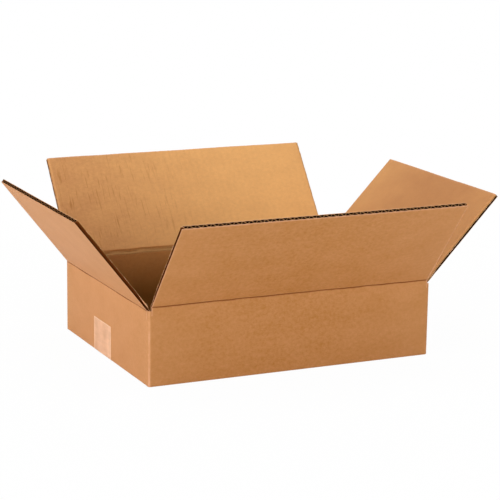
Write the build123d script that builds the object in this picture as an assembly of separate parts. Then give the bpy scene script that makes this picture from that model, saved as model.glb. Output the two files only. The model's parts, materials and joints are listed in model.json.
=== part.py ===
from build123d import *
import os
from math import acos, floor, pi

# Outside sizes of the carton, in millimetres. X runs along the long sides, Y from
# the front to the back, and Z up from the surface that the carton stands on.
carton_length = 311.0
carton_width = 235.0
carton_height = 80.0  # surface to the fold lines of the two long flaps

# Corrugated board: two flat liners with a waved medium glued between them.
board_thickness = 4.0
liner_thickness = 0.3
medium_thickness = 0.25  # at a crest, where the medium lies flat on a liner
web_width = 0.3  # slanting medium, measured along the board
flute_pitch = 7.8
crest_width = 0.7
open_flute_depth = 18.0  # how far the channels are open behind a cut edge
side_recess = 1.9  # depth of the half channel that a side cut leaves open

# Folds. Two folded layers lie on each other with layer_gap between them.
layer_gap = 0.2
hinge_gap = 0.15  # from a fold line to each of the two edges that meet there
score_width = 6.0  # board pressed thin beside a fold line, on its inner face
score_crush = 1.0
outer_fold_radius = 3.2
inner_fold_radius = 0.5
bottom_fold_radius = 1.6
pinched_thickness = 2.2  # end walls, where their bottom folds are pinched round

# Slots between the flaps.
long_flap_slot = 3.0  # from the end of the carton to the side of a long flap
end_flap_clearance = 0.1  # from the rounding inside a corner to a closed end flap
slot_overcut = 0.8  # how far a bottom slot runs past the fold lines
seam_gap = 1.0  # between two long flaps that meet in the middle

# How far each top flap leans outwards from upright, in degrees.
front_lean = 38.7
back_lean = 37.5
left_lean = 38.5
right_lean = 43.7

# Tab that closes the walls: folded from the back wall, glued in the right one.
tab_width = 32.0
tab_taper = 8.0
tab_end_clearance = 1.2  # from the end flaps folded in above and below the tab
joint_inset = 0.4  # from the cut edge of the right wall to the back wall's face

# Tape along the bottom seam and up both ends.
tape_width = 48.0
tape_thickness = 0.1
tape_rise = 36.0
tape_offset = 8.0  # from the seam back to the middle of the tape
tape_tooth_pitch = 3.0
tape_tooth_depth = 0.8

# All eight flaps have the same length: two long ones meet in the middle.
# The end flaps fold in between the long walls, and the long ones over them.
flap_length = (carton_width - seam_gap) / 2
long_flap_width = carton_length - 2 * long_flap_slot
end_flap_slot = board_thickness + inner_fold_radius + end_flap_clearance
end_flap_width = carton_width - 2 * end_flap_slot

# Wall faces and levels that the pieces share.
half_length = carton_length / 2
half_width = carton_width / 2
inner_half_length = half_length - board_thickness
inner_half_width = half_width - board_thickness
long_fold_height = carton_height
end_fold_height = carton_height - board_thickness - layer_gap
underside = tape_thickness
long_layer_top = underside + board_thickness
end_layer_bottom = long_layer_top + layer_gap
end_layer_top = end_layer_bottom + board_thickness

# Heights in a channel where its section has corners: 0 on the liner, 1 at the crest.
WAVE_LEVELS = (0.0, 0.25, 0.75, 1.0)
STRAIGHT_LEVELS = (0.0, 1.0)

# Turns about Z from the front to each side. What is made once, for the front or the
# left, is placed as it is and turned half round for its twin.
FRONT, RIGHT, BACK, LEFT = (90 * quarter for quarter in range(4))
TWINS = (FRONT, BACK)


def channel_half_width(level):
    """Half the width of a flute channel: a cosine wave with the medium taken off."""
    if level == 0.0:
        return (flute_pitch - crest_width) / 2 - web_width
    if level == 1.0:
        return crest_width / 2
    return flute_pitch / (2 * pi) * acos(2 * level - 1) - web_width / 2


def channel_section(middle, on_outer_liner, levels):
    """A channel in the board's section: along the board in X, through it in Y."""
    height = board_thickness - 2 * liner_thickness - medium_thickness
    base = liner_thickness
    if not on_outer_liner:
        base, height = board_thickness - liner_thickness, -height
    right = [(middle + channel_half_width(f), base + height * f) for f in levels]
    left = [(2 * middle - x, y) for x, y in reversed(right)]
    return make_face(Polyline(*right, *left, close=True))


def side_channel_section(side, board_width):
    """The half channel that the knife leaves open along a side cut, between the liners."""
    edge = side * board_width / 2
    deep = edge - side * side_recess
    shallow = edge - side * side_recess / 2
    low, high = liner_thickness, board_thickness - liner_thickness
    return make_face(Polyline((edge, low), (deep, low), (shallow, high), (edge, high), close=True))


def open_channels(board_width, board_end, levels):
    """The row of channels behind a cut edge at Z = board_end, clear of both side cuts."""
    spacing = flute_pitch / 2
    outer_half = channel_half_width(0.0)
    usable = board_width - 2 * (side_recess + web_width + outer_half)
    count = floor(usable / spacing) + 1
    first = -(count - 1) * spacing / 2
    row = [channel_section(first + i * spacing, i % 2 == 0, levels) for i in range(count)]
    return Pos(0, 0, board_end - open_flute_depth) * extrude(Sketch() + row, open_flute_depth)


def board(board_width, start, end, levels):
    """Flat board with its outer face at Y = 0 and flutes along Z, cut square at Z = end."""
    plate = Pos(0, board_thickness / 2, (start + end) / 2) * Box(
        board_width, board_thickness, end - start
    )
    sides = [side_channel_section(side, board_width) for side in (-1, 1)]
    side_start = start + score_width
    plate -= Pos(0, 0, side_start) * extrude(Sketch() + sides, end - side_start)
    return plate - open_channels(board_width, end, levels)


def fold_wedge(fold_width):
    """What a fold takes off a board above its fold line at Y = 0, Z = 0.

    A mitre from the outer face, then a shallow slope where the score is pressed in.
    """
    pressed = board_thickness - score_crush
    section = Polyline(
        (0, -hinge_gap),
        (pressed, -hinge_gap - pressed),
        (board_thickness, -max(score_width, pressed + 2 * hinge_gap)),
        (board_thickness, 0),
        (0, 0),
        close=True,
    )
    return extrude(Plane.YZ.offset(-fold_width / 2) * make_face(section), fold_width)


def flap(board_width):
    """A flap that stands upright on its fold line, with its outer face at Y = 0."""
    return board(board_width, 0, flap_length, WAVE_LEVELS) - mirror(
        fold_wedge(board_width), Plane.XY
    )


def top_flap(upright_flap, side, distance, fold_height, lean):
    """A flap set on its wall's fold line and leant outwards."""
    return Rot(0, 0, side) * Pos(0, -distance, fold_height) * Rot(lean, 0, 0) * upright_flap


def walls():
    """The four walls as one folded strip, square at the corner that the tab joins."""
    outline = Rectangle(carton_length, carton_width)
    rounded = outline.vertices().sort_by(Axis((0, 0, 0), (1, 1, 0)))[:3]
    height = end_fold_height - underside
    block = extrude(fillet(rounded, outer_fold_radius), height)
    hollow = RectangleRounded(2 * inner_half_length, 2 * inner_half_width, inner_fold_radius)
    block -= extrude(hollow, height)
    block = Pos(0, 0, underside) * block - joint_groove() - post_feet()
    for side in TWINS:
        block += Rot(0, 0, side) * raised_wall()
        top = Pos(0, -half_width, long_fold_height) * fold_wedge(long_flap_width)
        bottom = Pos(0, -half_width, underside) * fold_spandrel(long_flap_width)
        block -= Rot(0, 0, side) * (top + bottom)
    for side in (LEFT, RIGHT):
        top = Pos(0, -half_length, end_fold_height) * fold_wedge(2 * inner_half_width)
        bottom = Pos(0, -half_length, underside) * fold_spandrel(end_flap_width)
        block -= Rot(0, 0, side) * (top + bottom)
    return block


def fold_spandrel(fold_width):
    """What the rounding of a bottom fold takes off a square edge at Y = 0, Z = 0."""
    r = bottom_fold_radius
    section = Pos(r / 2, r / 2) * Rectangle(r, r) - Pos(r, r) * Circle(r)
    return extrude(Plane.YZ.offset(-fold_width / 2) * section, fold_width)


def post_feet():
    """Lower ends of the corner posts, cut off where the slots run past the folds.

    Each box is centred on a corner of the carton, so a quarter of it cuts.
    """
    foot = Box(2 * long_flap_slot, 2 * end_flap_slot, 2 * slot_overcut)
    corners = GridLocations(carton_length, carton_width, 2, 2)
    return Compound(children=[Pos(0, 0, underside) * place * foot for place in corners])


def raised_wall():
    """Top of the front wall: its flap folds higher, over the two end flaps."""
    rise = long_fold_height - end_fold_height
    middle = (-half_width - inner_half_width) / 2
    return Pos(0, middle, end_fold_height + rise / 2) * Box(long_flap_width, board_thickness, rise)


def joint_groove():
    """Upright groove between the back wall's fold and the right wall's cut edge."""
    r = outer_fold_radius
    corner = Pos(inner_half_length - r / 2, half_width - r / 2) * Rectangle(r, r)
    corner -= Pos(inner_half_length - r, half_width - r) * Circle(r)
    end_cut = Pos(half_length - board_thickness / 2, half_width - joint_inset / 2) * Rectangle(
        board_thickness, joint_inset
    )
    return extrude(corner + end_cut, carton_height)


def glued_tab():
    """The tab against the inside of the right wall, tapered towards its free end."""
    low = end_layer_top + tab_end_clearance
    high = end_fold_height - board_thickness - tab_end_clearance
    fold, end = inner_half_width, inner_half_width - tab_width
    outline = Polyline(
        (fold, low), (fold, high), (end, high - tab_taper), (end, low + tab_taper), close=True
    )
    face = Plane.YZ.offset(inner_half_length - board_thickness) * make_face(outline)
    return extrude(face, board_thickness)


def long_bottom_flap():
    """The front one of the two outer layers of the bottom."""
    depth = inner_half_width - seam_gap / 2
    middle = -(inner_half_width + seam_gap / 2) / 2
    return Pos(0, middle, underside + board_thickness / 2) * Box(
        long_flap_width, depth, board_thickness
    )


def end_bottom_flap():
    """The inner layer at the left end, its cut edge open to the inside of the carton."""
    lying = Plane((-half_length, 0, end_layer_bottom), x_dir=(0, 1, 0), z_dir=(1, 0, 0))
    return lying.location * board(end_flap_width, board_thickness, flap_length, STRAIGHT_LEVELS)


def pinched_fold():
    """Room beside the left end of the outer layer, where the end wall is pinched thin."""
    depth = board_thickness - pinched_thickness
    height = end_layer_bottom - underside
    return Pos(-inner_half_length - depth / 2, 0, underside + height / 2) * Box(
        depth, 2 * inner_half_width, height
    )


def carton_body():
    """Walls, tab and closed bottom flaps: one blank, folded, glued and taped shut."""
    body = walls()
    for turn in TWINS:
        body -= Rot(0, 0, turn) * pinched_fold()
    for turn in TWINS:
        body += Rot(0, 0, turn) * long_bottom_flap()
        body += Rot(0, 0, turn) * end_bottom_flap()
    return body + glued_tab()


def tape_teeth():
    """What the dispenser's toothed blade takes off both ends of the tape."""
    count = 2 * round(tape_width / tape_tooth_pitch)
    step = tape_width / count
    edge = [
        (tape_offset - tape_width / 2 + i * step, tape_rise - tape_tooth_depth * (i % 2))
        for i in range(count + 1)
    ]
    above = tape_rise + tape_tooth_depth
    outline = Polyline(*edge, (edge[-1][0], above), (edge[0][0], above), close=True)
    reach = half_length + tape_thickness
    return extrude(Plane.YZ.offset(-reach) * make_face(outline), 2 * reach)


def bottom_tape():
    """One strip of tape along the seam, folded up over both bottom edges."""
    outer_half = half_length + tape_thickness
    outer = Pos(0, tape_rise / 2) * Rectangle(2 * outer_half, tape_rise)
    outer = fillet(
        outer.vertices().sort_by(Axis.Y)[:2], bottom_fold_radius + tape_thickness
    )
    inner = Pos(0, (underside + tape_rise) / 2) * Rectangle(carton_length, tape_rise - underside)
    inner = fillet(inner.vertices().sort_by(Axis.Y)[:2], bottom_fold_radius)
    strip = Plane.XZ.offset(-tape_offset - tape_width / 2) * (outer - inner)
    return extrude(strip, tape_width) - tape_teeth()


long_flap = flap(long_flap_width)
end_flap = flap(end_flap_width)
nodes = {
    "carton_body": carton_body(),
    "bottom_tape": bottom_tape(),
    "front_flap": top_flap(long_flap, FRONT, half_width, long_fold_height, front_lean),
    "right_flap": top_flap(end_flap, RIGHT, half_length, end_fold_height, right_lean),
    "back_flap": top_flap(long_flap, BACK, half_width, long_fold_height, back_lean),
    "left_flap": top_flap(end_flap, LEFT, half_length, end_fold_height, left_lean),
}

os.makedirs("parts", exist_ok=True)
for name, shape in nodes.items():
    export_step(shape, f"parts/{name}.step")
    print(name, round(shape.volume), "mm3")
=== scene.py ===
# %% [markdown]
# # A shallow carton of corrugated board
#
# The carton stands open: four top flaps lean outwards from their folds, the bottom is
# folded shut and taped. Corrugated board is three sheets of paper: two flat liners with
# a waved medium glued between them. A slab with stripes painted on its edges would be
# quicker, but looks painted from close by. So every board here is those three sheets, and
# the dark holes along a cut edge are real channels.

import json
import math

import bpy
import numpy as np
from mathutils import Matrix, Vector

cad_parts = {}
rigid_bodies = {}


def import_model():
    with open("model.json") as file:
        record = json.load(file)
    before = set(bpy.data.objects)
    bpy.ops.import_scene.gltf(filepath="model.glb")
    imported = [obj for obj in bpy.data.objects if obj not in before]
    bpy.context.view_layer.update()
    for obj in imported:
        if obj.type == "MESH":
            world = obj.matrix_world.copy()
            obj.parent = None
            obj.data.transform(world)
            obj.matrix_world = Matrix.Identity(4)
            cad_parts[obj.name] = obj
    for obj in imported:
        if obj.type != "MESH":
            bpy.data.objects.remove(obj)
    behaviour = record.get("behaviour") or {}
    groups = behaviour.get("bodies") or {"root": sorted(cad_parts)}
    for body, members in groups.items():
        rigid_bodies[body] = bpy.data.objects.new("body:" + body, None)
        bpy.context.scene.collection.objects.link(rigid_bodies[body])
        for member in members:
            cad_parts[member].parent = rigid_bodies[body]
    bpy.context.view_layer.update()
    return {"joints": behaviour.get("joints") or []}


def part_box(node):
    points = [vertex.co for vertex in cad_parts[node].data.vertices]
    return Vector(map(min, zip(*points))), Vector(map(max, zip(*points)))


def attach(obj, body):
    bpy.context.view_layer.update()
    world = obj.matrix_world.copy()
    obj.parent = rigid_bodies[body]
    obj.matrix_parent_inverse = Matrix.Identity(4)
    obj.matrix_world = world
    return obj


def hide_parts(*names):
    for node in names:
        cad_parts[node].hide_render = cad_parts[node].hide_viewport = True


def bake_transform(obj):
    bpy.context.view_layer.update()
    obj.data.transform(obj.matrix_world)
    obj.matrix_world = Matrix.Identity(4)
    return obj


for leftover in list(bpy.data.objects):
    bpy.data.objects.remove(leftover)
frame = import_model()

# %% [markdown]
# Each hinge in the frame says where its fold line is and how far its flap leans at rest,
# because a closed flap has turned 90 degrees past upright. What the frame doesn't say is
# given here: the papers, the flutes and the gaps.

# %% Sizes of the board and of the carton, in metres
joints = {joint["name"]: joint for joint in frame["joints"]}
half_width = -joints["front_fold"]["pos_m"][1]
half_length = joints["right_fold"]["pos_m"][0]
long_fold_height = joints["front_fold"]["pos_m"][2]
end_fold_height = joints["right_fold"]["pos_m"][2]

layer_gap = 0.0002  # between two boards that lie on each other
board = long_fold_height - end_fold_height - layer_gap
liner = 0.0003
medium = 0.00025
flute_pitch = 0.0078
flute_fullness = 1.3  # how flat the medium's crests are; near 0 it is a plain cosine
washboard = 0.00003  # waves that the flutes press through the liners

seam_gap = 0.001  # between two flaps that meet in the middle
flap_length = half_width - seam_gap / 2
tape_film = 0.0001
print("board", round(board * 1000, 2), "mm, flaps", round(flap_length * 1000, 1), "mm long")

# %% [markdown]
# All four sides are made by the same functions: each is worked out as if it were the front
# of the carton, with x along the fold, and is then turned about Z.

# %% The four sides
TURNS = {"front": 0, "right": 90, "back": 180, "left": 270}

# Middle of each side on the flat blank, measured round the carton from the tab's corner.
UV_MIDDLE = {
    "right": half_width,
    "front": 2 * half_width + half_length,
    "left": 3 * half_width + 2 * half_length,
    "back": 4 * half_width + 3 * half_length,
}


def leant(points, lean):
    """Turned about the fold line: y' = y cos a - z sin a, z' = y sin a + z cos a."""
    x, y, z = np.moveaxis(points, -1, 0)
    c, s = np.cos(lean), np.sin(lean)
    return np.stack([x, y * c - z * s, y * s + z * c], -1)


class Side:
    """One side of the carton: how it is turned, where it folds and how far its flap leans."""

    def __init__(self, name):
        joint = joints[name + "_fold"]
        low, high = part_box(name + "_flap")
        self.name = name
        self.turn = math.radians(TURNS[name])
        self.is_long = name in ("front", "back")
        self.distance = half_width if self.is_long else half_length
        self.reach = half_length if self.is_long else half_width
        self.fold_height = joint["pos_m"][2]
        self.lean = math.radians(-joint["range_deg"][0] - 90)
        self.flap_width = high.x - low.x if self.is_long else high.y - low.y
        self.u_middle = UV_MIDDLE[name]

    def place(self, points):
        """Points on the front of an unturned carton, turned about Z to this side."""
        x, y, z = np.moveaxis(points, -1, 0)
        y = y - self.distance
        c, s = math.cos(self.turn), math.sin(self.turn)
        return np.stack([x * c - y * s, x * s + y * c, z], -1)

    def on_fold(self, points, lean):
        """Points about an upright fold, leant by that angle and set on this side's wall."""
        return self.place(leant(points, lean) + (0, 0, self.fold_height))

    def on_flap(self, points):
        """Points of an upright flap, leant as this side's flap leans at rest."""
        return self.on_fold(points, self.lean)

    def on_blank(self, uv):
        """Places on a flap as places on the flat blank: u round the carton, v up from its foot."""
        return np.stack([self.u_middle - uv[:, 0], self.fold_height + uv[:, 1]], -1)


SIDES = {name: Side(name) for name in TURNS}
for side in SIDES.values():
    print(side.name, "flap", round(side.flap_width, 4), "leans", round(math.degrees(side.lean), 1))

# %% [markdown]
# Paper is never quite even. A noise texture could move a finished mesh, but here the
# unevenness is wanted inside the formulas. So one function gives it all: a smooth random
# curve, the same on every run because its seed is fixed.

# %% A smooth random curve
heights_drawn = 4096
height_at_zero = 2000  # places below zero have heights too


def wander(along, spacing, size, seed):
    """Random heights every `spacing`, joined by smooth steps 3f^2 - 2f^3, up to +-size."""
    heights = np.random.default_rng(seed).uniform(-1, 1, heights_drawn)
    place = np.asarray(along) / spacing + height_at_zero
    below = np.floor(place).astype(int)
    f = place - below
    f = f * f * (3 - 2 * f)
    return size * (heights[below] * (1 - f) + heights[below + 1] * f)


# %% [markdown]
# A sheet of paper is a closed shell between two grids of points, so that it has a real
# thickness and real edges. The Solidify modifier could thicken one grid. Here both are
# given, because a sheet may swell at its cut, and its faces have finishes of their own.
# Each point carries two marks for the finish: one for creases and painted shade, and how worn.

# %% Closed shells, and pieces made of them
MARKS = ("crease", "worn")
sharp_angle = math.radians(35)


def shell(front, back, uv, finish=(0, 0), crease=(0, 0), worn=(0, 0)):
    """Closed shell between two grids (rows, columns, 3): quads over both, a band round the rim.

    A shell whose signed volume comes out negative is turned, so all faces look outwards.
    finish, crease and worn are given for the front grid and the back one; crease holds creases and
    painted shade.
    """
    rows, columns = front.shape[:2]
    count = rows * columns
    index = np.arange(count).reshape(rows, columns)
    quads = np.stack([index[:-1, :-1], index[:-1, 1:], index[1:, 1:], index[1:, :-1]], -1)
    quads = quads.reshape(-1, 4)
    rim = np.concatenate([index[0, :-1], index[:-1, -1], index[-1, :0:-1], index[:0:-1, 0]])
    after = np.roll(rim, -1)
    band = np.stack([after, rim, rim + count, after + count], -1)
    faces = np.concatenate([quads, quads[:, ::-1] + count, band])
    points = np.concatenate([front.reshape(-1, 3), back.reshape(-1, 3)])
    a, b, c, d = (points[faces[:, i]] for i in range(4))
    volume = np.einsum("ij,ij->", a, np.cross(b, c)) + np.einsum("ij,ij->", a, np.cross(c, d))
    if volume < 0:
        faces = faces[:, ::-1]
    marks = [[np.broadcast_to(face, (rows, columns)) for face in pair] for pair in (crease, worn)]
    flat_uv = uv.reshape(-1, 2)
    both_uv = np.concatenate([flat_uv, flat_uv])
    kinds = np.repeat([finish[0], finish[1], finish[0]], [len(quads), len(quads), len(band)])
    return points, faces, both_uv, kinds, np.reshape(marks, (2, -1))


def moved(shells, change, change_uv):
    """The same shells with their points and UVs carried somewhere else."""
    return [(change(p), f, change_uv(uv), kind, marks) for p, f, uv, kind, marks in shells]


def new_object(name, data):
    """An object of that data, put into the scene."""
    made = bpy.data.objects.new(name, data)
    bpy.context.scene.collection.objects.link(made)
    return made


def make_piece(name, shells, finishes):
    """One mesh object out of closed shells, with the board's own UV map in metres."""
    points, faces, uv, kinds, marks = zip(*shells)
    starts = np.cumsum([0] + [len(p) for p in points])
    faces = np.concatenate([f + start for f, start in zip(faces, starts)])
    points, uv, kinds = (np.concatenate(parts) for parts in (points, uv, kinds))
    mesh = bpy.data.meshes.new(name)
    mesh.vertices.add(len(points))
    mesh.vertices.foreach_set("co", points.astype(np.float32).ravel())
    mesh.loops.add(faces.size)
    mesh.loops.foreach_set("vertex_index", faces.astype(np.int32).ravel())
    mesh.polygons.add(len(faces))
    mesh.polygons.foreach_set("loop_start", np.arange(0, faces.size, 4, dtype=np.int32))
    mesh.polygons.foreach_set("use_smooth", np.ones(len(faces), bool))
    mesh.polygons.foreach_set("material_index", kinds.astype(np.int32))
    mesh.update(calc_edges=True)
    layer = mesh.uv_layers.new(name="board")
    layer.data.foreach_set("uv", uv[faces.ravel()].astype(np.float32).ravel())
    for mark, values in zip(MARKS, np.concatenate(marks, axis=1)):
        attribute = mesh.attributes.new(mark, "FLOAT", "POINT")
        attribute.data.foreach_set("value", values.astype(np.float32))
    mesh.set_sharp_from_angle(angle=sharp_angle)
    for finish in finishes:
        mesh.materials.append(finish)
    print(name, len(faces), "faces")
    return new_object(name, mesh)


# %% [markdown]
# ## Finishes
#
# A material is a graph of nodes, and a long graph is hard to read as links. Its maths reads
# best as ordinary expressions, so a socket is wrapped in a class that turns + - * into Math
# nodes.

# %% Shader sockets as Python values
class Wire:
    """An output socket of a material. Sums and products of numbers add Math nodes."""

    def __init__(self, tree, socket):
        self.tree = tree
        self.socket = socket

    def feed(self, socket, value):
        """Links a wire to a socket, or sets the socket to a plain value."""
        if isinstance(value, Wire):
            self.tree.links.new(value.socket, socket)
        else:
            socket.default_value = value

    def node(self, kind, settings, inputs, output):
        """A new node: settings first, then its sockets; gives the named output."""
        made = self.tree.nodes.new("ShaderNode" + kind)
        for name, value in settings.items():
            setattr(made, name, value)
        for name, value in inputs.items():
            self.feed(made.inputs[name], value)
        return Wire(self.tree, made.outputs[output])

    def math(self, operation, first, second=0.0, clamp=False):
        settings = {"operation": operation, "use_clamp": clamp}
        return self.node("Math", settings, {0: first, 1: second}, 0)

    def __add__(self, other):
        return self.math("ADD", self, other)

    def __radd__(self, other):
        return self.math("ADD", other, self)

    def __sub__(self, other):
        return self.math("SUBTRACT", self, other)

    def __rsub__(self, other):
        return self.math("SUBTRACT", other, self)

    def __mul__(self, other):
        return self.math("MULTIPLY", self, other)

    def held(self):
        """The same number, held between 0 and 1."""
        return self.math("ADD", self, 0.0, clamp=True)


def ramp(value, start, steepness):
    """0 up to start and rising from there, held at 1. A negative steepness rises downwards."""
    return ((value - start) * steepness).held()


def cosine_band(place, centre, pitch):
    """1 at the centre, -1 half a pitch away on either side, with a smooth swing between."""
    return place.math("COSINE", (place - centre) * (2 * math.pi / pitch))


def noise(uv, across, along, detail, roughness=0.5, distortion=0.0, shift=0.0):
    """Noise on the board, with so many features a metre across and along its flutes."""
    stretch = {0: uv, 1: (across, along, 1.0), 2: (0.0, 0.0, shift)}
    place = uv.node("VectorMath", {"operation": "MULTIPLY_ADD"}, stretch, "Vector")
    looks = {"Scale": 1.0, "Detail": detail, "Roughness": roughness, "Distortion": distortion}
    return uv.node("TexNoise", {"noise_dimensions": "3D"}, {"Vector": place, **looks}, "Fac")


def rgba(colour):
    return (*colour, 1.0)


def scaled(colour, shares):
    """The colour with each channel times its share, at most 1."""
    return tuple(min(1.0, channel * share) for channel, share in zip(colour, shares))


def mixed(amount, first, second):
    """Colour from `first` at 0 to `second` at 1. A Mix node has its colours at 6, 7 and 2."""
    ends = [end if isinstance(end, Wire) else rgba(end) for end in (first, second)]
    return amount.node("Mix", {"data_type": "RGBA"}, {0: amount, 6: ends[0], 7: ends[1]}, 2)


def mark_on(uv, name):
    """One of the marks that the mesh carries at its points."""
    return uv.node("Attribute", {"attribute_name": name}, {}, "Fac")


def new_finish(name, specular):
    """An empty material with one Principled shader, and a wire on its board UV map."""
    material = bpy.data.materials.new(name)
    material.use_nodes = True
    tree = material.node_tree
    shader = tree.nodes["Principled BSDF"]
    shader.inputs["Specular IOR Level"].default_value = specular
    uv = tree.nodes.new("ShaderNodeUVMap")
    uv.uv_map = "board"
    print("finish", name)
    return material, shader, Wire(tree, uv.outputs["UV"])


def finished(uv, shader, colour, roughness, relief, strength, depth):
    """Feeds the shader: base colour, roughness, and a bump of that strength and depth."""
    bump = uv.node("Bump", {}, {"Strength": strength, "Distance": depth, "Height": relief}, "Normal")
    uv.feed(shader.inputs["Base Color"], colour)
    uv.feed(shader.inputs["Roughness"], roughness)
    uv.feed(shader.inputs["Normal"], bump)


# %% [markdown]
# Kraft liner is brown paper of long fibres. Up close it has clouds of thicker and thinner
# pulp, a fine grain, fibres that lie across the flutes, and stray dark and pale flecks. A
# photo of paper would repeat and stretch, so each is a noise of its own scale, read in
# metres on the flat blank. On the flaps near one corner, where the inner liner was pressed
# hardest, the flutes show through as thin darker streaks. The slow swing of the tone round
# the carton is partly the paper's own and partly painted light and shade along the flaps.
# Creases and painted shade are mixed towards burnt brown, the deepest painted shade on to
# near black; worn edges and the painted highlight down the corners go towards straw.

# %% Kraft liner
# Noises: features a metre across the flutes and along them, detail, roughness, distortion.
CLOUDS = (32, 48, 3)
MOTTLE = (230, 270, 3, 0.6)
GRAIN = (430, 560, 3, 0.7)
FIBRES = (260, 2600, 3, 0.65, 0.4)
LINES = (430, 32, 2, 0.5, 0.2)
PATCHES = (40, 30, 2)
FLECKS = (900, 1300, 1)

# How much each of them sways the tone between the deep brown and the pale one.
cloud_share, mottle_share, grain_share, fibre_share = 0.34, 1.1, 0.7, 0.2
coarse_level, coarse_swing = 0.6, 0.4
band_pitch = 0.58
drift_centre = 0.6  # metres round the carton, where the drift of the tone is nil

dark_from, pale_from, fleck_steepness = 0.71, 0.28, 16  # flecks are above and below these
dark_strength, pale_strength = 0.6, 0.5

streaked_corner = 0.80
streak_full, streak_fade = 1.15, 6.5  # strength at that corner, and its loss in a metre

# Near black for the deepest painted shade, far down the channels.
PAINTED_DEEP_SHADE = (0.012, 0.002, 0.0004)
BROWN_SHARES = (0.50, 0.33, 0.08)
STRAW_SHARES = (1.45, 1.7, 3.0)


def creased_and_shaded(uv, colour, burnt):
    """Mixes in creases and painted shade: 0 to 1 towards burnt brown, 1 to 2 towards near black."""
    mark = mark_on(uv, "crease")
    colour = mixed(mark.held(), colour, burnt)
    return mixed((mark - 1).held(), colour, PAINTED_DEEP_SHADE)


def flute_streaks(uv, place, height, shift):
    """Thin lines along the flutes, in patches, above the folds near the streaked corner."""
    from_corner = place.math("ABSOLUTE", place - streaked_corner)
    on_flap = ramp(height, long_fold_height, 150)
    pressed = (streak_full - from_corner * streak_fade).held() * on_flap
    lines = noise(uv, *LINES, shift=shift + 9)
    patches = noise(uv, *PATCHES, shift=shift + 11)
    return ramp(lines, 0.57, 9) * ramp(patches, 0.36, 5) * pressed


def kraft_liner(
    name, pale, deep, burnt, banding_and_painted_light, pale_at, drift, speckling, coarse_at, coarse_pitch, streaks, shift
):
    """Paper between a deep and a pale brown; pale has most blue and green, as in real pulp.

    The tone swings by banding round the carton, palest at pale_at, and rises by drift for
    each metre of it; both are partly the paper's own tone and partly painted light and shade
    along the flaps. The speckle is coarsest at coarse_at. shift moves all the noises.
    """
    material, shader, uv = new_finish(name, specular=0.2)
    paper = [(a + b) / 2 for a, b in zip(pale, deep)]
    straw = scaled(paper, STRAW_SHARES)
    place = uv.node("SeparateXYZ", {}, {0: uv}, "X")
    height = uv.node("SeparateXYZ", {}, {0: uv}, "Y")
    clouds = noise(uv, *CLOUDS, shift=shift)
    mottle = noise(uv, *MOTTLE, shift=shift + 3)
    grain = noise(uv, *GRAIN, shift=shift + 5)
    fibres = noise(uv, *FIBRES, shift=shift + 7)
    flecks = noise(uv, *FLECKS, shift=shift + 15)
    streak = flute_streaks(uv, place, height, shift) * streaks
    coarse = (coarse_level + cosine_band(place, coarse_at, coarse_pitch) * coarse_swing) * speckling
    speckle = (mottle - 0.5) * mottle_share + (grain - 0.5) * grain_share + (fibres - 0.5) * fibre_share
    # The swing round the carton and the drift are partly painted light and shade.
    tone = 0.5 + cosine_band(place, pale_at, band_pitch) * banding_and_painted_light + (clouds - 0.5) * cloud_share
    tone = tone + (place - drift_centre) * drift + speckle * coarse
    dark_fleck = ramp(flecks, dark_from, fleck_steepness) * coarse
    pale_fleck = ramp(flecks, pale_from, -fleck_steepness) * coarse
    colour = mixed(tone.held(), deep, pale)
    colour = mixed(streak.held(), colour, scaled(paper, BROWN_SHARES))
    colour = mixed(dark_fleck * dark_strength, colour, burnt)
    colour = mixed(pale_fleck * pale_strength, colour, straw)
    colour = creased_and_shaded(uv, colour, burnt)
    colour = mixed(mark_on(uv, "worn") * (0.6 + grain * 0.8), colour, straw)
    relief = fibres * 0.4 + grain * 0.6 - streak * 0.15
    finished(uv, shader, colour, 0.5 + fibres * 0.16, relief, strength=0.4, depth=0.00014)
    return material


outer_liner = kraft_liner(
    "outer_liner",
    pale=(0.670, 0.322, 0.140),
    deep=(0.383, 0.146, 0.016),
    burnt=(0.190, 0.046, 0.004),
    banding_and_painted_light=0.10, pale_at=0.69, drift=0.0, streaks=0.0, shift=0.0,
    speckling=0.62, coarse_at=0.40, coarse_pitch=0.57,
)
inner_liner = kraft_liner(
    "inner_liner",
    pale=(0.876, 0.468, 0.170),
    deep=(0.492, 0.213, 0.078),
    burnt=(0.122, 0.067, 0.003),
    banding_and_painted_light=0.31, pale_at=1.02, drift=0.17, streaks=0.55, shift=40.0,
    speckling=0.42, coarse_at=0.84, coarse_pitch=1.45,
)

# %% [markdown]
# The medium between the liners is rougher paper. It is only seen end on: pale where the
# knife cut it, dark a millimetre down the channels, where hardly any light gets in. Gloss
# would mirror the white room down there and look like dust, so it has none.

# %% Fluted medium
# The medium's burnt brown, and the near black past it, are painted shade down the channels.
FLUTING = {"deep": (0.30, 0.13, 0.045), "pale": (0.42, 0.20, 0.075), "burnt": (0.17, 0.042, 0.008)}
FLUTING_CUT = (0.70, 0.38, 0.17)


def fluting_paper():
    material, shader, uv = new_finish("fluted_medium", specular=0.0)
    pulp = noise(uv, across=900, along=900, detail=3)
    colour = mixed(pulp, FLUTING["deep"], FLUTING["pale"])
    colour = creased_and_shaded(uv, colour, FLUTING["burnt"])
    colour = mixed(mark_on(uv, "worn"), colour, FLUTING_CUT)
    finished(uv, shader, colour, 0.85, pulp, strength=0.4, depth=0.0001)
    return material


fluted_medium = fluting_paper()
BOARD_FINISHES = (outer_liner, inner_liner, fluted_medium)
OUTER, INNER, FLUTES = range(3)

# %% [markdown]
# ## Board
#
# A flap is made flat and upright first: x along the fold, y through the board with the
# outer liner at 0, z up from the fold. The medium is a cosine wave with its crests pressed
# flat, and the liners follow it very slightly, as a faint washboard. Side edges were cut by
# slotting wheels, which crush the board, so the inner liner dips towards them. Each flap's
# wheels were worn in their own way.

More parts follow.
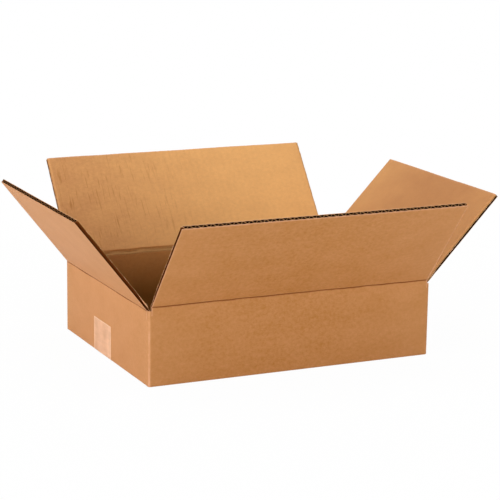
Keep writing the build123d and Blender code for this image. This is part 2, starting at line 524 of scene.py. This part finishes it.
# %% Shape of the board
CRUSHED_DEPTH = {"front": 0.0008, "right": 0.0017, "back": 0.0012, "left": 0.0001}
crushed_reach = 0.0013
corner_crush = 0.0012
corner_crush_at = 0.005
corner_crush_reach = 0.012


def wave(x):
    """The flutes across the board: tanh(k cos(2 pi x / pitch)) / tanh k, 1 at the outer liner."""
    return np.tanh(flute_fullness * np.cos(2 * np.pi * x / flute_pitch)) / np.tanh(flute_fullness)


def wave_slope(x):
    """How fast the wave falls: (2 pi / pitch) k sin(2 pi x / pitch) (1 - tanh^2) / tanh k."""
    turn = 2 * np.pi * x / flute_pitch
    levelling = 1 - np.tanh(flute_fullness * np.cos(turn)) ** 2
    steepest = 2 * np.pi / flute_pitch * flute_fullness / np.tanh(flute_fullness)
    return steepest * np.sin(turn) * levelling


def near_edge(distance, reach):
    """Bell curve exp(-(d/reach)^2): 1 at an edge, nearly 0 two reaches away from it."""
    return np.exp(-((distance / reach) ** 2))


def thickness_at(x, z, side):
    """Board thickness: full, less a bell curve at both side edges, deeper close to the fold."""
    from_side = side.flap_width / 2 - np.abs(x)
    near_fold = near_edge(z - corner_crush_at, corner_crush_reach)
    depth = CRUSHED_DEPTH[side.name] + corner_crush * near_fold
    return board - depth * near_edge(from_side, crushed_reach)


# %% Marks on the board: painted shade in its channels and at side cuts, and worn cuts
# Painted shade on the inner liner at each flap's side cuts, which lie in shadow.
SIDE_CUT_SHADE = {"front": 0.6, "right": 0.8, "back": 0.5, "left": 0.9}
SIDE_CUT_LIGHT = {"front": 0.50, "right": 0.05, "back": 0.45, "left": 0.50}
SIDE_FRAYING = {"front": 1.1, "right": 0.15, "back": 0.4, "left": 0.9}
TOP_FRAYING = {"front": 1.0, "right": 0.4, "back": 0.4, "left": 0.15}
channel_light = 0.0002
deepest = 2.0
side_cut_reach = 0.003
side_shade_reach = 0.0007
frayed_reach = 0.0010
inner_frayed_reach = 0.0004
worn_behind = 0.3  # how worn the liners' hidden faces are at a cut


def darkness(from_cut, from_side, side):
    """Painted shade in the board: 0 at the cut, deepest past it, brown at a side cut."""
    open_to_light = SIDE_CUT_LIGHT[side.name] * near_edge(from_side, side_cut_reach)
    return deepest * (1 - near_edge(from_cut, channel_light)) * (1 - open_to_light)


def side_shade_at(from_side, side):
    """How much painted shade the inner liner has towards a side cut."""
    return SIDE_CUT_SHADE[side.name] * near_edge(from_side, side_shade_reach)


# %% [markdown]
# Each sheet is one even grid over the whole board, with a few close rows and columns before
# a cut, because the fraying and the shade change within a millimetre there. The knife
# leaves a ragged line, so the last rows and columns move a little.

# %% Three sheets of one board
FINE_STEPS = np.array([0.0, 0.0004, 0.0009, 0.0015])
fine_reach = 0.0023

# Random curves along the cuts, each with its spacing and its size.
TOP_RAGGED = (0.0011, 0.00010)
TOP_SWAY = (0.03, 0.0002)
SIDE_RAGGED = (0.0013, 0.00012)
TORN_PATCHES = (0.0021, 0.5)
ragged_from_fold = 0.045

flare_reach = 0.0006
liner_flare = 0.05  # how much thicker a liner is at the top cut, and the medium
cut_flare = 0.4
flare_behind = 0.2  # how worn that makes the liners' hidden faces, and the medium
flare_worn = 0.60


def even_with_fine_ends(start, end, count, fine_start=True):
    """Even places from start to end, with four close ones before an end that is cut."""
    first = start + FINE_STEPS if fine_start else np.array([])
    inner_start = start + fine_reach if fine_start else start
    middle = np.linspace(inner_start, end - fine_reach, count)
    return np.concatenate([first, middle, end - FINE_STEPS[::-1]])


def flare_at(from_top, side):
    """How far the knife spread the papers at the top cut."""
    return TOP_FRAYING[side.name] * near_edge(from_top, flare_reach)


def liner_sheets(side, x, z, start, end, seed, inside):
    """Both liners, the outer one at depth 0 and the inner one at the board's thickness.

    The rows move up by share^8 of a random curve and the columns aside by edge^40 of one,
    where share and edge are 1 at the cuts, so only the last of them move.
    """
    thick = thickness_at(x, z, side)
    from_side = side.flap_width / 2 - np.abs(x)
    from_cut = np.minimum(from_side, end - z)
    near_fold = near_edge(z, ragged_from_fold)
    share = (z - start) / (end - start)
    edge = np.abs(x) / (side.flap_width / 2)
    cut = wander(x, *TOP_RAGGED, seed) + wander(x, *TOP_SWAY, seed + 1)
    ragged_z = z + share**8 * cut
    ragged_x = x + np.sign(x) * edge**40 * wander(z, *SIDE_RAGGED, seed + 2) * (1 + near_fold)
    uv = np.stack([ragged_x, ragged_z], -1)
    ripple = washboard * wave(x)
    dark = darkness(from_cut, from_side, side)
    side_shade = side_shade_at(from_side, side)
    flare = flare_at(end - z, side)
    patchy = 0.5 + 0.5 * np.clip(0.45 + wander(x + z, *TORN_PATCHES, seed + 3), 0, 1)
    side_frayed = near_edge(from_side, frayed_reach) * SIDE_FRAYING[side.name]
    top_frayed = near_edge(end - z, frayed_reach) * TOP_FRAYING[side.name]
    behind = worn_behind * near_edge(end - z, inner_frayed_reach) + flare_behind * flare
    # Inner liner marks: painted shade inside the carton, at side cuts and down the channels.
    layers = (
        (OUTER, 0.0, liner, 0.5 + 0.5 * near_fold, (0.0, dark)),
        (INNER, thick, -liner, near_fold, (np.clip(inside + side_shade, 0, 1), np.maximum(dark, side_shade))),
    )
    sheets = []
    for finish, face, through, torn, shades in layers:
        frayed = np.maximum(side_frayed * torn, top_frayed) * patchy
        front = np.stack([ragged_x, face - ripple, ragged_z], -1)
        back_face = face + through * (1 + liner_flare * flare)
        back = np.stack([ragged_x, back_face - ripple, ragged_z], -1)
        sheets.append(shell(front, back, uv, (finish, FLUTES), shades, (frayed, behind)))
    return sheets


def medium_sheet(side, x, z, end):
    """The waved medium: half its thickness to both sides of y = middle - swing wave(x).

    It is thickened along its own normal, (-slope, 1) / sqrt(1 + slope^2).
    """
    thick = thickness_at(x, z, side)
    flare = flare_at(end - z, side)
    dark = darkness(end - z, side.flap_width / 2 - np.abs(x), side)
    swing = (thick - 2 * liner - medium) / 2
    slope = swing * wave_slope(x)
    length = np.sqrt(1 + slope**2)
    half = medium / 2 * (1 + cut_flare * flare)
    aside = np.stack([-slope / length, 1 / length, 0 * x], -1) * half[..., None]
    centre = np.stack([x, thick / 2 - swing * wave(x), z], -1)
    worn = flare_worn * flare
    looks = ((FLUTES, FLUTES), (dark, dark), (worn, worn))
    return shell(centre - aside, centre + aside, np.stack([x, z], -1), *looks)


def board_sheets(side, start, end, seed, samples=12, rows=20, inside=0.0):
    """Outer liner, inner liner and medium between them, each as a closed shell.

    samples is the columns a flute has. The medium is straight along its flutes, so it needs
    only every fifth row, and the close ones at the cut.
    """
    width = side.flap_width
    across = even_with_fine_ends(-width / 2, width / 2, int(width / flute_pitch * samples) + 1)
    up = even_with_fine_ends(start, end, rows, fine_start=False)
    x, z = np.meshgrid(across, up)
    few = np.unique(np.concatenate([np.arange(0, rows, 5), np.arange(rows - 1, len(up))]))
    liners = liner_sheets(side, x, z, start, end, seed, inside)
    return [*liners, medium_sheet(side, x[few], z[few], end)]


# %% [markdown]
# A leaning flap is the upright one turned about its fold line, then set on its wall. Its
# UVs run on from the wall's, so the pulp has no seam at the fold: u is the way round the
# carton, v the height on the flat blank. The flap starts a little above its fold, because
# what bends is a piece of its own.

# %% The four top flaps
fold_reach = 0.0062


def top_flap(side, seed):
    flat = board_sheets(side, fold_reach, flap_length, seed)
    name = side.name + "_flap"
    piece = make_piece(name + "_board", moved(flat, side.on_flap, side.on_blank), BOARD_FINISHES)
    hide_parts(name)
    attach(piece, name)


for number, side in enumerate(SIDES.values()):
    top_flap(side, seed=10 * number)

# %% [markdown]
# ## Folds
#
# At a fold the board was pressed flat by a scoring wheel: the inner liner dips almost to
# the outer one, which creases sharply. Each fold is a strip that bends from the wall into
# its flap as they stand at rest.

# %% Shape of a scored fold
score_depth = 0.0015
score_spread = 0.0009
crease_depth = 0.0005
crease_spread = 0.00065
lip_height = 0.00006
lip_place = -0.0027
lip_spread = 0.0006
proud = 0.00003  # how far the strip's skins lie outside the flap's and the wall's
bend_reach = 0.0008

# Random curves along the score.
SCORE_SWAY = (0.014, 0.00030)
SCORE_RAGGED = (0.0017, 0.00010)
SCORE_UNEVEN = (0.01, 0.0001)


def fold_depths(side, x, t, at, seed):
    """Depths of the outer skin and the inner one at t above the fold, at from the score.

    The outer skin's depth is a narrow bell, where it creases. The inner skin's is the board's
    thickness less a wider bell, the score, with a low lip beside it.
    """
    outer = crease_depth * near_edge(at, crease_spread) - proud - washboard * wave(x)
    dip = near_edge(at, score_spread)
    flat = (thickness_at(x, t, side) - board) * (1 - dip) + board
    scored = (score_depth + wander(x, *SCORE_UNEVEN, seed + 2)) * dip
    inner = flat - scored + proud + lip_height * near_edge(at - lip_place, lip_spread)
    return outer, inner


# %% Shade inside the carton
inside_shade = 0.79
shade_at_fold = 0.12
shade_growth = 1.4  # for each wall height further down


def shade_below(t):
    """How shaded the inside is t above a fold: a little just below it, inside_shade far down."""
    return inside_shade * np.clip(shade_at_fold - shade_growth * t / long_fold_height, 0, 1) * (t < 0)


# %% Scored folds between the walls and the flaps
FOLD_ROWS = np.concatenate([np.linspace(0, 0.0030, 14), np.linspace(0.0038, 0.0085, 5)])
fold_samples = 6
medium_step = 3  # the strip's medium has every third row
# Inside a fold: painted shade in the score and just below it, and a painted highlight on the lip.
GROOVE_SHADES = ((0.30, 0.0, 0.0007), (0.38, -0.0013, 0.0008))  # how dark, where, how wide
fold_fraying = 0.6
lip_highlight = 0.07


def fold_strip(side, seed):
    """Three skins, each (depth(t), t) turned about the fold by lean * smooth(t).

    t runs up the blank through the fold, and smooth(t) = 3 s^2 - 2 s^3 with s from 0 to 1
    over the bend. The medium waves between the skins with whatever room is left.
    """
    width = side.flap_width
    across = even_with_fine_ends(-width / 2, width / 2, int(width / flute_pitch * fold_samples) + 1)
    x, t = np.meshgrid(across, np.concatenate([-FOLD_ROWS[:0:-1], FOLD_ROWS]))
    at = t - (wander(x, *SCORE_SWAY, seed) + wander(x, *SCORE_RAGGED, seed + 1))
    outer, inner = fold_depths(side, x, t, at, seed)
    share = np.clip((t / bend_reach + 1) / 2, 0, 1)
    bend = side.lean * share * share * (3 - 2 * share)
    uv = np.stack([side.u_middle - x, side.fold_height + t], -1)

    def skin(depth, every=1):
        return side.on_fold(np.stack([x[::every], depth, t[::every]], -1), bend[::every])

    from_side = width / 2 - np.abs(x)
    dark = darkness(from_side, from_side, side)
    side_shade = side_shade_at(from_side, side)
    frayed = fold_fraying * SIDE_FRAYING[side.name] * near_edge(from_side, frayed_reach)
    behind = worn_behind * near_edge(from_side, inner_frayed_reach)
    # Outer fold line: partly darker fibres, partly painted shade. Inner skin: painted shade and
    # highlight.
    crease = near_edge(at, crease_spread)
    groove_shade = sum(shade * near_edge(at - place, spread) for shade, place, spread in GROOVE_SHADES)
    groove_shade = np.clip(groove_shade + shade_below(t) + side_shade, 0, 1)
    lip_highlight_and_fraying = lip_highlight * near_edge(at - lip_place, lip_spread) + frayed
    swing = np.maximum(inner - outer - 2 * liner - medium, 0) / 2
    middle = ((inner + outer) / 2 - swing * wave(x))[::medium_step]
    waved = [skin(middle + offset, every=medium_step) for offset in (-medium / 2, medium / 2)]
    hidden = dark[::medium_step]
    channel_and_side_shade = np.maximum(dark, side_shade)
    shells = [
        shell(skin(outer), skin(outer + liner), uv, (OUTER, FLUTES), (crease, dark), (frayed, behind)),
        shell(skin(inner), skin(inner - liner), uv, (INNER, FLUTES), (groove_shade, channel_and_side_shade), (lip_highlight_and_fraying, 0)),
        shell(*waved, uv[::medium_step], (FLUTES, FLUTES), (hidden, hidden)),
    ]
    piece = make_piece(side.name + "_fold_strip", shells, BOARD_FINISHES)
    along = np.array([0.0, -math.sin(side.lean / 2), math.cos(side.lean / 2)]) * bend_reach
    fold_line = np.array([0, 0, side.fold_height])
    ends = side.place(np.array([fold_line - along, fold_line + along]))
    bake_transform(piece)


for number, side in enumerate(SIDES.values()):
    fold_strip(side, seed=100 + 10 * number)

# %% [markdown]
# The slotting wheels also tear the paper. Along the side edges, mostly near the corners,
# small tatters of the inner liner stand out, paler than its face. Hairs would be too thin
# for paper, and bump can't stand out from an edge. So each is a little curled sheet.

# %% Tatters along the side edges
tatters_a_side = 22
LONG_TATTER = (0.0009, 0.0002)  # width, and height of the curl
END_TATTER = (0.0006, 0.0003)
tatter_paper = 0.00012
tatter_inset = 0.0002
tatter_sunk = 0.00005
first_tatter = 0.002
last_share = 0.96  # of the flap's length


def tatters(side, end, seed, bunching):
    """Little sheets, each l long and w wide: width narrows as 1 - t^4, height curls as t^2.

    Their places are fractions f^bunching of the flap's length, so most lie near the fold.
    Those on the end flaps are smaller, as these close tightly between the walls.
    """
    draw = np.random.default_rng(seed)
    width, height = LONG_TATTER if side.is_long else END_TATTER
    t, v = np.meshgrid(np.linspace(0, 1, 5), np.linspace(-1, 1, 3), indexing="ij")
    shells = []
    for number in range(tatters_a_side):
        share = draw.uniform(0, 1) ** bunching
        z = fold_reach + first_tatter + (flap_length - fold_reach) * share * last_share
        length, curl = draw.uniform(0.0015, 0.0055), draw.uniform(0.3, 1.0)
        drift, wide = draw.uniform(-0.5, 0.5), draw.uniform(0.6, 1.0) * width
        out = (t * 0.5 + v * (1 - t**4)) * wide * 0.5 + drift * tatter_inset
        x = end * (side.flap_width / 2 - tatter_inset + out)
        thick = thickness_at(side.flap_width / 2, z, side)
        y = thick - tatter_sunk + height * curl * t**2
        front = np.stack([x, y, z + length * (t - 0.5)], -1)
        back = front - (0, tatter_paper, 0)
        uv = np.stack([front[..., 0], front[..., 2]], -1)
        pale = draw.uniform(0.6, 1.2)
        shells.append(shell(front, back, uv, (INNER, INNER), worn=(pale, pale)))
    name = side.name + ("_tatters_a" if end > 0 else "_tatters_b")
    piece = make_piece(name, moved(shells, side.on_flap, side.on_blank), BOARD_FINISHES)
    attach(piece, side.name + "_flap")


for number, side in enumerate(SIDES.values()):
    bunching = 0.6 if side.name == "front" else 1.8
    tatters(side, 1, seed=500 + 10 * number, bunching=bunching)
    tatters(side, -1, seed=505 + 10 * number, bunching=1.8)

# %% [markdown]
# ## Walls
#
# The four walls are one strip of board, folded round at the corners. At the fourth corner
# the back wall folds once more, into a tab that is glued behind the right wall's cut edge.
# Four slabs would meet in seams that real corners don't have. So the strip is a list of
# columns, each with a point on the outer liner, one on the inner liner, and the heights
# where the board starts and ends there.

# %% Columns round the walls
outer_radius = 0.0032
inner_radius = 0.0005
corner_reach = 0.0042
# Width of the pale band down a corner: partly worn, partly a painted highlight.
corner_wear_and_highlight_spread = 0.24
column_spacing = 0.0026
post_reach = 0.0002  # the corner's full height runs this far along an end wall
step_width = 0.00002  # and steps down to the wall's
joint_inset = 0.0004
tab_width = 0.032
tab_taper = 0.008
tab_clearance = 0.0012
underside = tape_film
foot_lift = 0.0002
bottom_radius = 0.0016
corner_foot_radius = 0.0007
end_layer_bottom = underside + board + layer_gap
end_layer_top = end_layer_bottom + board

tab_low = end_layer_top + tab_clearance
tab_high = end_fold_height - board - tab_clearance
POST = (underside + foot_lift, end_fold_height, corner_foot_radius)


class Columns:
    """Columns of the strip in order: outer xy, inner xy, u, bottom, top, foot radius, wear."""

    def __init__(self):
        self.parts = []

    def add(self, outer, inner, *levels):
        spread = [np.broadcast_to(level, len(outer)) for level in levels]
        self.parts.append(np.column_stack([outer, inner, *spread]))

    def run(self, side, start, end, low, high, foot=bottom_radius):
        """Straight stretch of a side's wall, from local x = start to x = end."""
        x = np.linspace(start, end, int(abs(end - start) / column_spacing) + 2)
        flat = np.stack([x, 0 * x, 0 * x], -1)
        outer = side.place(flat)[:, :2]
        inner = side.place(flat + (0, board, 0))[:, :2]
        self.add(outer, inner, side.u_middle - x, low, high, foot, 0.0)

    def corner(self, centre, start_degrees, u_middle):
        """Quarter turn, clockwise from above: one arc outside, a tighter one inside."""
        share = np.linspace(0, 1, 12)
        angle = np.radians(start_degrees - 90 * share)
        ray = np.stack([np.cos(angle), np.sin(angle)], -1)
        quadrant = np.radians(start_degrees - 45)
        aside = np.sign([np.cos(quadrant), np.sin(quadrant)])
        outer = centre - aside * outer_radius + ray * outer_radius
        inner = centre - aside * (board + inner_radius) + ray * inner_radius
        u = u_middle + (2 * share - 1) * outer_radius
        self.add(outer, inner, u, *POST, near_edge(share - 0.5, corner_wear_and_highlight_spread))


# Each side and the corner after it. The last leads into the tab, one board further in.
ROUND = (
    ("right", (half_length, -half_width), 0),
    ("front", (-half_length, -half_width), -90),
    ("left", (-half_length, half_width), -180),
    ("back", (half_length - board, half_width), -270),
)
columns = Columns()
for name, corner_at, start_degrees in ROUND:
    side = SIDES[name]
    limit = side.reach - corner_reach
    into_tab = board if name == "back" else 0
    if name == "right":
        columns.run(side, side.reach - joint_inset, limit + step_width, *POST)
    elif not side.is_long:
        columns.run(side, limit + post_reach, limit + step_width, *POST)
    end = into_tab - limit
    wall_top = end_fold_height if side.is_long else end_fold_height - board
    columns.run(side, limit, end, underside, wall_top)
    if not side.is_long:
        columns.run(side, end - step_width, end - post_reach, *POST)
    columns.corner(np.array(corner_at), start_degrees, side.u_middle + side.reach - into_tab)

tab_y = np.linspace(half_width - corner_reach, half_width - board - tab_width, 14)
taper = np.clip((half_width - board - tab_y) / tab_width, 0, 1) * tab_taper
tab_outer = np.stack([0 * tab_y + half_length - board, tab_y], -1)
tab_inner = tab_outer - (board, 0)
tab_u = SIDES["back"].u_middle + half_length - board + half_width - tab_y
columns.add(tab_outer, tab_inner, tab_u, tab_low + taper, tab_high - taper, corner_foot_radius, 0)
strip = np.concatenate(columns.parts)
print(len(strip), "columns round the walls")

# %% [markdown]
# The section of the wall is the same everywhere: round under the bottom fold, straight up
# to the scored top. End walls are pinched thin low down, where the long bottom flaps lie
# beside them. Corners are paler, partly worn by rubbing and partly a painted highlight where
# the bend catches light, most of all at their feet. The channels inside a wall are never
# seen, so it is made as one shell.

# %% The walls
pinched = 0.0022
wall_rows = 22
foot_rows = 6
RUBBED_PATCHES = (0.004, 0.5)
rubbed_foot_reach = 0.008
scuffed_foot_reach = 0.0012


def carton_walls():
    """Closed shell: outer rows bend in by R(1 - cos a) at the foot, inner rows stay upright."""
    outer, inner = strip[:, 0:2], strip[:, 2:4]
    u, low, high, foot, wear_and_highlight = strip[:, 4:].T
    angle = np.linspace(np.pi / 2, 0, foot_rows)[:, None]
    upper = np.linspace(0, 1, wall_rows)[1:, None]
    start = low + foot
    above = start + upper * (high - start)
    outer_z = np.concatenate([low + foot * (1 - np.sin(angle)), above])
    bent = np.concatenate([foot * (1 - np.cos(angle)), 0 * above])
    inner_z = np.concatenate([low + np.linspace(0, 1, foot_rows)[:, None] * foot, above])
    is_end = np.abs(outer[:, 0]) > half_length - 0.5 * outer_radius
    deep = np.where(is_end & (outer_z < end_layer_bottom), pinched / board, 1.0)
    ripple = washboard * np.cos(2 * np.pi * u / flute_pitch)

    def between(share):
        return outer[None] * (1 - share[..., None]) + inner[None] * share[..., None]

    front = np.dstack([between((bent - ripple) / board), outer_z])
    back = np.dstack([between(deep - ripple / board), inner_z])
    uv = np.stack([np.broadcast_to(u, outer_z.shape), outer_z], -1)
    # Pale down each corner: partly worn, partly a painted highlight where the bend catches light.
    rubbed_and_highlit = np.clip(0.7 + wander(outer_z + u, *RUBBED_PATCHES, 701), 0, 1) * wear_and_highlight
    worn = rubbed_and_highlit * (0.55 + 0.3 * near_edge(outer_z, rubbed_foot_reach))
    worn = worn + 0.18 * near_edge(outer_z, scuffed_foot_reach)
    shade = shade_below(np.minimum(inner_z - long_fold_height, -1e-6))
    wall = shell(front, back, uv, (OUTER, INNER), (0, shade), (worn, 0))
    piece = make_piece("carton_walls", [wall], BOARD_FINISHES)
    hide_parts("carton_body")
    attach(piece, "carton")


carton_walls()

# %% [markdown]
# ## Bottom
#
# Four flaps close the bottom. The two long ones lie outermost and meet in a seam; the two
# end ones lie on them inside, too short to meet, so their channels show from above. They
# are made like the top flaps and laid flat, with a coarser grid.

# %% Bottom flaps
bottom_shade = 0.6 * inside_shade


def bottom_flap(side, level, seed):
    """A board laid flat: height through the board, and length from the wall inwards."""

    def change(points):
        x, y, z = np.moveaxis(points, -1, 0)
        return side.place(np.stack([x, z, level + y], -1))

    def change_uv(uv):
        return np.stack([side.u_middle - uv[:, 0], -uv[:, 1]], -1)

    flat = board_sheets(side, board, flap_length, seed, samples=6, rows=9, inside=bottom_shade)
    shells = moved(flat, change, change_uv)
    piece = make_piece(side.name + "_bottom_flap", shells, BOARD_FINISHES)
    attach(piece, "carton")


for number, side in enumerate(SIDES.values()):
    bottom_flap(side, underside if side.is_long else end_layer_bottom, seed=300 + 10 * number)

# %% [markdown]
# ## Tape
#
# One strip of film runs along the seam and up both ends, carried along a U-shaped path. Its
# ends are toothed by the dispenser, and it lies on the paper with small wrinkles. A clear
# film would be slow to render and hard to export. The glue has not wetted the paper
# everywhere, so this one is cloudy: pale over air, nearer to the board's colour elsewhere.

# %% Film of the tape
AIR_CLOUDS = (55, 45, 3)
SMEARS = (60, 260, 3, 0.5, 0.8)
FILM = {"wetted": (0.58, 0.27, 0.11), "cloudy": (0.82, 0.45, 0.235), "edge": (0.93, 0.62, 0.36)}


def packing_film():
    material, shader, uv = new_finish("tape_film", specular=0.5)
    clouds = noise(uv, *AIR_CLOUDS, shift=2)
    smears = noise(uv, *SMEARS, shift=4)
    air = (0.62 + (clouds - 0.5) * 2.2 + (smears - 0.5) * 0.9).held()
    colour = mixed(air, FILM["wetted"], FILM["cloudy"])
    colour = mixed(mark_on(uv, "worn"), colour, FILM["edge"])
    relief = clouds * 0.4 + smears * 0.6
    finished(uv, shader, colour, 0.28 + smears * 0.2, relief, strength=0.5, depth=0.0002)
    return material


# %% Tape along the seam
tooth_pitch = 0.003
tooth_depth = 0.0008
wrinkle = 0.00012
WRINKLES_ACROSS = (0.006, 0.5)
WRINKLES_ALONG = (0.009, 0.5)
edge_worn = 0.75
side_edge_reach = 0.0009
end_edge_reach = 0.0010


def bottom_tape():
    """Film along a U: up the left end, under the seam, up the right end."""
    low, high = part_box("bottom_tape")
    rise = high.z
    y = np.linspace(low.y, high.y, 65)
    straight = np.linspace(rise, bottom_radius + tape_film, 22)
    angle = np.linspace(0, np.pi / 2, 7)[1:-1]
    flat = np.linspace(-half_length + bottom_radius, 0, 40)

    def half_path(offset):
        radius = bottom_radius + offset
        bend_x = -half_length + bottom_radius - radius * np.cos(angle)
        bend_z = tape_film + bottom_radius - radius * np.sin(angle)
        x = np.concatenate([0 * straight - half_length - offset, bend_x, flat])
        z = np.concatenate([straight, bend_z, 0 * flat + tape_film - offset])
        return np.stack([x, z], -1)

    halves = [half_path(tape_film), half_path(0.0)]
    paths = [np.concatenate([half, half[-2::-1] * (-1, 1)]) for half in halves]
    step = np.concatenate([[0], np.cumsum(np.linalg.norm(np.diff(paths[0], axis=0), axis=1))])
    along, across = np.meshgrid(step, y, indexing="ij")
    from_end = np.minimum(along, step[-1] - along)
    from_side = np.minimum(across - low.y, high.y - across)
    tooth = tooth_depth * np.abs((across / tooth_pitch) % 1 * 2 - 1)
    on_wall = np.clip(1 - from_end / (rise - bottom_radius), 0, 1)
    ruffle = wander(across + 0.3 * along, *WRINKLES_ACROSS, 401)
    ruffle = ruffle + wander(along + 0.2 * across, *WRINKLES_ALONG, 402)
    lift = np.maximum(wrinkle * on_wall**0.5 * (0.5 + ruffle), 0)
    grids = []
    for path, thick in zip(paths, (lift, 0.6 * lift)):
        x = np.broadcast_to(path[:, :1], along.shape)
        z = np.broadcast_to(path[:, 1:], along.shape) - tooth * (from_end < 1e-9)
        grids.append(np.stack([x + np.sign(x) * thick, across, z], -1))
    near = np.maximum(near_edge(from_side, side_edge_reach), near_edge(from_end, end_edge_reach))
    edge = edge_worn * near
    uv = np.stack([across, along], -1)
    piece = make_piece("bottom_tape_film", [shell(*grids, uv, worn=(edge, edge))], [packing_film()])
    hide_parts("bottom_tape")
    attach(piece, "carton")


bottom_tape()

# %% [markdown]
# ## Studio
#
# The carton stands on a white sweep under broad soft lamps. More light would whiten the
# floor too, but bleach the carton. So the floor and the world are white only to what sees
# them, and light the carton at a plain level.

# %% Floor and world
floor_reach = 8.0
floor_drop = 0.0001
floor_colour = (0.92, 0.92, 0.92)
glow_near, glow_rise = 0.98, 0.02
glow_from, glow_steepness = 0.3, 2
world_strength = 0.06


def only_seen(tree):
    """1 for rays from the camera, from gloss or through glass: what sees the background."""
    path = tree.nodes.new("ShaderNodeLightPath")
    kinds = ("Camera", "Glossy", "Transmission")
    seen, gloss, through = (Wire(tree, path.outputs[f"Is {kind} Ray"]) for kind in kinds)
    return (seen + gloss + through).held()


def sweep_material():
    """Diffuse white mixed with a plain white glow: 0.98 near the carton, 1 further off."""
    material = bpy.data.materials.new("white_sweep")
    material.use_nodes = True
    tree = material.node_tree
    shader = tree.nodes["Principled BSDF"]
    shader.inputs["Base Color"].default_value = rgba(floor_colour)
    shader.inputs["Roughness"].default_value = 0.9
    shader.inputs["Specular IOR Level"].default_value = 0.0
    glow = tree.nodes.new("ShaderNodeEmission")
    glow.inputs["Strength"].default_value = 1.0
    blend = tree.nodes.new("ShaderNodeMixShader")
    seen = only_seen(tree)
    where = Wire(tree, tree.nodes.new("ShaderNodeTexCoord").outputs["Object"])
    far = where.node("VectorMath", {"operation": "LENGTH"}, {0: where}, "Value")
    share = glow_near + ramp(far, glow_from, glow_steepness) * glow_rise
    seen.feed(blend.inputs[0], seen * share)
    tree.links.new(shader.outputs[0], blend.inputs[1])
    tree.links.new(glow.outputs[0], blend.inputs[2])
    tree.links.new(blend.outputs[0], tree.nodes["Material Output"].inputs["Surface"])
    return material


def white_floor():
    corners = [(x * floor_reach, y * floor_reach, 0) for x, y in ((-1, -1), (1, -1), (1, 1), (-1, 1))]
    mesh = bpy.data.meshes.new("floor")
    mesh.from_pydata(corners, [], [(0, 1, 2, 3)])
    mesh.materials.append(sweep_material())
    floor = new_object("floor", mesh)
    floor.location.z = -floor_drop


def white_world(strength):
    """A world of that strength, which is 1, plain white, to what sees the background."""
    world = bpy.data.worlds.new("white_studio")
    bpy.context.scene.world = world
    world.use_nodes = True
    tree = world.node_tree
    background = tree.nodes["Background"]
    background.inputs["Color"].default_value = (1, 1, 1, 1)
    seen = only_seen(tree)
    seen.feed(background.inputs["Strength"], strength + seen * (1 - strength))


white_floor()
white_world(world_strength)
print("floor", 2 * floor_reach, "m wide, world at", world_strength)

# %% [markdown]
# Most light comes from the left, a little cooler, and low from the front, so the walls and
# the flaps are bright and the inside is deep. Six broad lamps give soft shadows, where small
# ones would draw hard edges on the board.

# %% Lamps
lamp_distance = 2.2
WHITE = (1, 1, 1)
COOL = (1.0, 1.03, 1.10)
WARM = (1.0, 1.0, 0.95)

# Name, azimuth, elevation, size, power, colour.
LAMPS = (
    ("left_low", -92, 13, 1.0, 21.7, COOL),
    ("left_high", -88, 36, 1.1, 4.5, WHITE),
    ("front_left", -55, 13, 1.0, 10, WHITE),
    ("front_low", 12, 13, 1.0, 19.8, WARM),
    ("overhead", 0, 90, 1.2, 21.8, WHITE),
    ("back_right", 138, 16, 1.0, 18, WHITE),
)


def direction_to(azimuth, elevation):
    """Unit vector: azimuth 0 is in front, positive to the right; elevation is above the floor."""
    a, e = math.radians(azimuth), math.radians(elevation)
    return Vector((math.sin(a) * math.cos(e), -math.cos(a) * math.cos(e), math.sin(e)))


def soft_lamp(name, azimuth, elevation, size, power, colour):
    """Square area lamp turned towards the middle of the carton, in metres and watts."""
    data = bpy.data.lights.new(name, "AREA")
    data.size = size
    data.energy = power
    data.color = colour
    lamp = new_object(name, data)
    towards = direction_to(azimuth, elevation)
    lamp.location = Vector((0, 0, long_fold_height)) + towards * lamp_distance
    lamp.rotation_mode = "QUATERNION"
    lamp.rotation_quaternion = towards.to_track_quat("Z", "Y")
    print("lamp", name, power, "W")


for lamp in LAMPS:
    soft_lamp(*lamp)

# %% [markdown]
# The camera stands low in front, a little to the left of the carton, with a long lens. A
# constraint could aim it. Here its place is given the way a photographer would: the point
# it looks at, how far away it stands, two angles and a slight roll.

# %% Camera
camera_azimuth = -25.214
camera_elevation = 12.749
camera_roll = 0.837
camera_distance = 1.8481
camera_aim = (-0.04009, -0.09829, 0.12324)
focal_pixels = 1871.8
frame_pixels = 500
sensor_width = 36


def place_camera():
    data = bpy.data.cameras.new("camera")
    data.sensor_width = sensor_width
    data.lens = sensor_width * (focal_pixels / frame_pixels)
    camera = new_object("camera", data)
    back = direction_to(camera_azimuth, camera_elevation)
    turn = back.to_track_quat("Z", "Y").to_matrix().to_4x4()
    roll = Matrix.Rotation(math.radians(camera_roll), 4, "Z")
    stand = Matrix.Translation(Vector(camera_aim) + back * camera_distance)
    camera.matrix_world = stand @ turn @ roll
    bpy.context.scene.camera = camera
    print("lens", round(data.lens, 1), "mm")


place_camera()
bpy.context.scene.view_settings.view_transform = "Standard"
